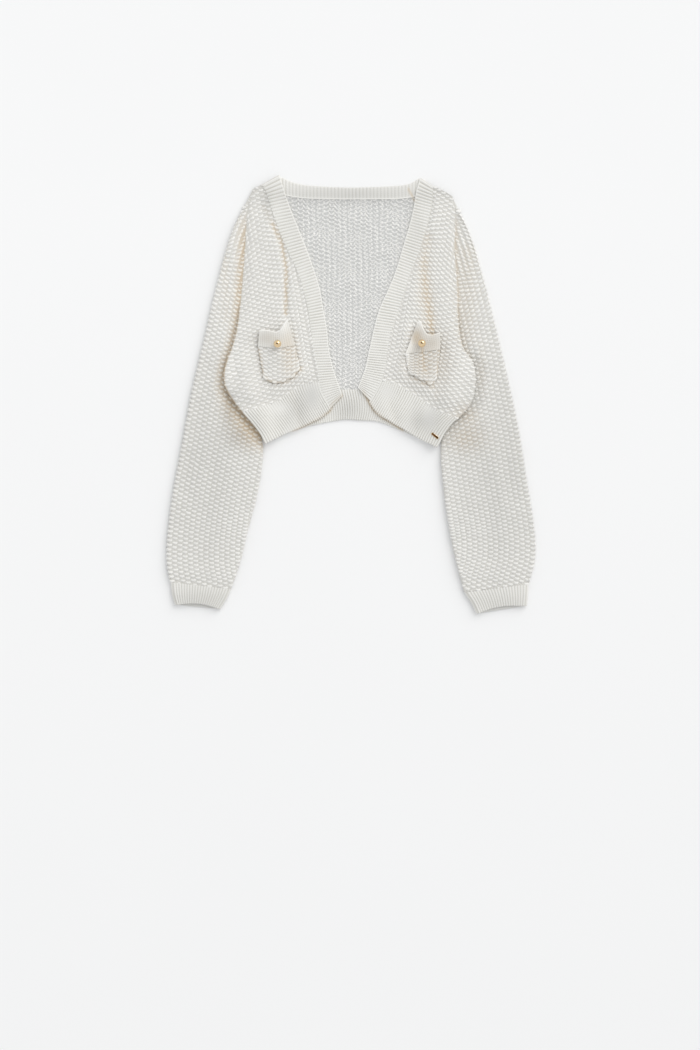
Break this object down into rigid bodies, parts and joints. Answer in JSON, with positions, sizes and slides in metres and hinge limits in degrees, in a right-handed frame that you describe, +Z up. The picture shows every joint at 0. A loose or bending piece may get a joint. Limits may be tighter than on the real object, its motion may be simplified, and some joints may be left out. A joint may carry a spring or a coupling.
{
  "type": "cropped open-front cardigan, laid flat",
  "caption": "Cropped open cardigan in chunky cream knit with drop sleeves, ribbed front bands, hem and cuffs, and patch pockets with ball buttons, laid flat.",
  "frame": {"origin": "middle of the garment's bounding box in plan, on the surface that it lies on", "axes": "+Y from hem to neck, +Z up out of the fronts, +X towards the garment's right side as seen from above"},
  "size_m": [0.5908, 0.701, 0.0304],
  "materials": {
    "knit": "matt cream cotton-like yarn in a chunky tuck knit",
    "rib": "matt cream yarn in a fine one-by-one rib",
    "gold": "polished gold-coloured metal"
  },
  "bodies": {
    "root": {"back_panel": "knit", "front_left": "knit", "front_right": "knit", "sleeve_left": "knit", "sleeve_right": "knit", "pocket_left": "knit", "pocket_right": "knit", "pocket_welt_left": "rib", "pocket_welt_right": "rib", "band_left": "rib", "band_right": "rib", "neck_band": "rib", "hem_back": "rib", "hem_left": "rib", "hem_right": "rib", "cuff_left": "rib", "cuff_right": "rib", "button_left": "gold", "button_right": "gold", "hem_bar": "gold"}
  },
  "joints": []
}
